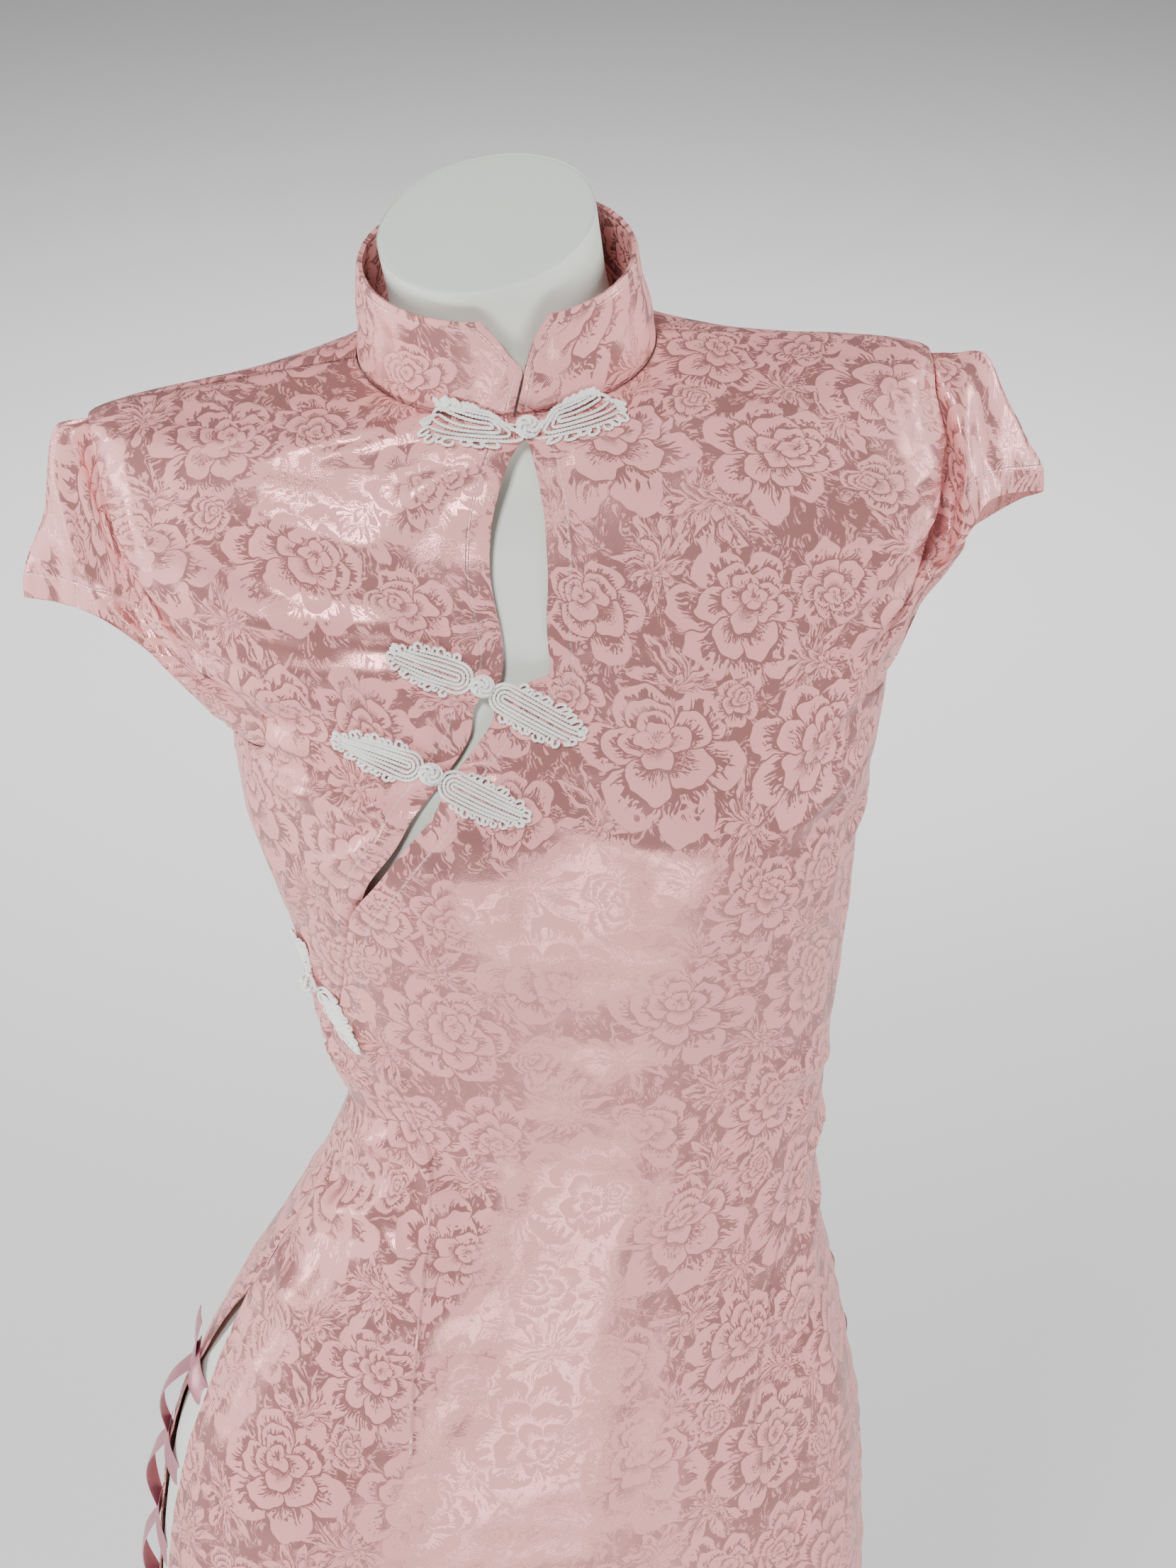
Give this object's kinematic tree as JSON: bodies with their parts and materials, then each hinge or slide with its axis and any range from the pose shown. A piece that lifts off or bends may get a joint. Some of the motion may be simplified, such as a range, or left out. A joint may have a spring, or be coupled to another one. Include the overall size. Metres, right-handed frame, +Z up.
{
  "type": "cheongsam dress on dress form",
  "caption": "Fitted satin cheongsam with stand collar, slanting frog-buttoned opening, cap sleeves and laced side slits, worn by a limbless dress form on a pole and round base.",
  "frame": {"origin": "middle of the stand base's underside, on the floor", "axes": "+Z up along the stand and the body, -Y to the front of the dress, +X to the wearer's left"},
  "size_m": [0.4835, 0.33, 1.5207],
  "materials": {
    "satin": "glossy woven satin with a flowered damask figure",
    "cord": "twisted white cord",
    "ribbon": "smooth satin ribbon",
    "form_shell": "smooth matte",
    "stand_steel": "brushed"
  },
  "bodies": {
    "root": {"front_main": "satin", "front_chest": "satin", "back": "satin", "collar": "satin", "sleeve_left": "satin", "sleeve_right": "satin", "frog_1_left": "cord", "frog_1_right": "cord", "frog_1_knot": "cord", "frog_2_left": "cord", "frog_2_right": "cord", "frog_2_knot": "cord", "frog_3_left": "cord", "frog_3_right": "cord", "frog_3_knot": "cord", "frog_4_left": "cord", "frog_4_right": "cord", "frog_4_knot": "cord", "lace_left": "ribbon", "lace_right": "ribbon", "form_torso": "form_shell", "stand_pole": "stand_steel", "stand_base": "stand_steel"}
  },
  "joints": []
}
